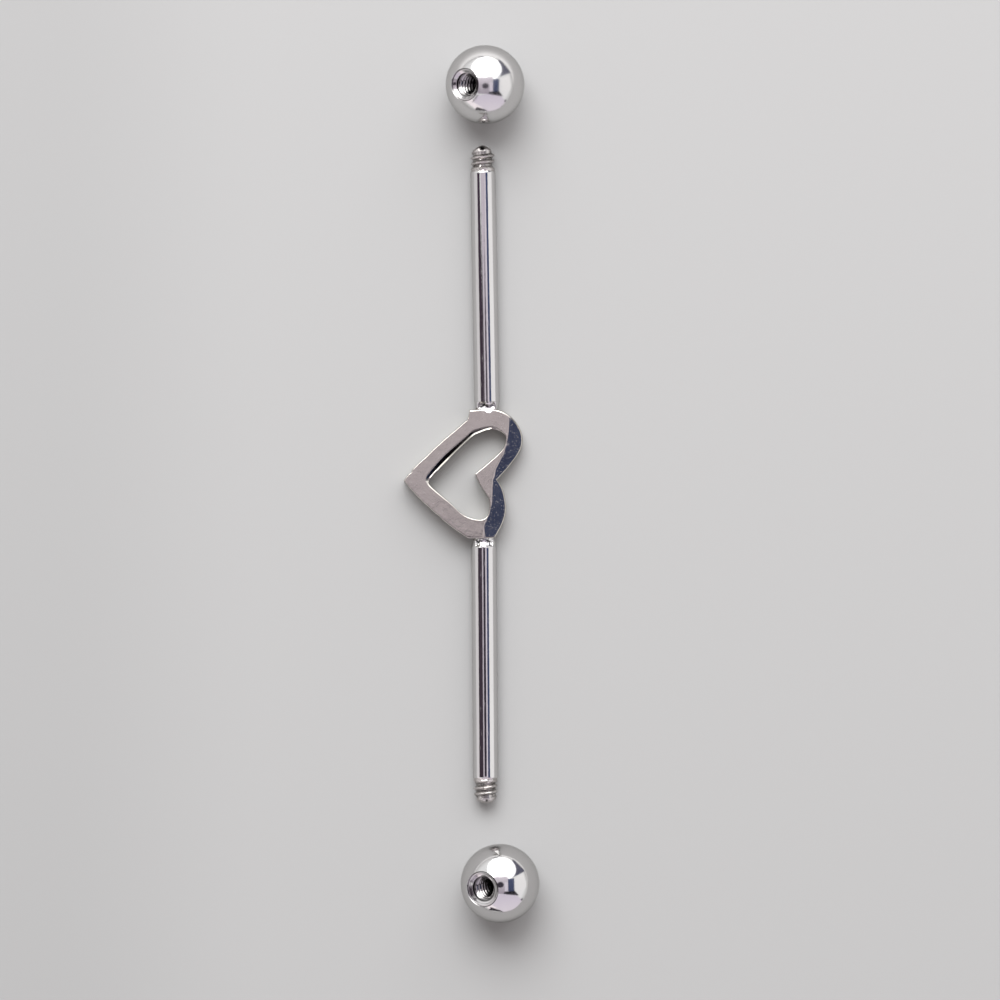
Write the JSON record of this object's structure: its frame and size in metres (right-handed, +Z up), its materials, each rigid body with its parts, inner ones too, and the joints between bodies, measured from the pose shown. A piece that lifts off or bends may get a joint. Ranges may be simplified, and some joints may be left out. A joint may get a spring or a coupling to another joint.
{
  "type": "industrial barbell",
  "caption": "Straight steel bar with an open heart in its middle and a threaded end at each side, with its threaded balls lying unscrewed.",
  "frame": {"origin": "middle of the whole set's box, on the surface that the bar, the heart and both balls lie on", "axes": "+Y along the bar towards the upper ball, +X from the heart's tip towards its lobes, +Z up from that surface"},
  "size_m": [0.0086, 0.055, 0.0049],
  "materials": {
    "bar_steel": "polished",
    "ball_steel": "polished"
  },
  "bodies": {
    "root": {"heart_bar": "bar_steel", "upper_ball": "ball_steel", "lower_ball": "ball_steel"}
  },
  "joints": []
}
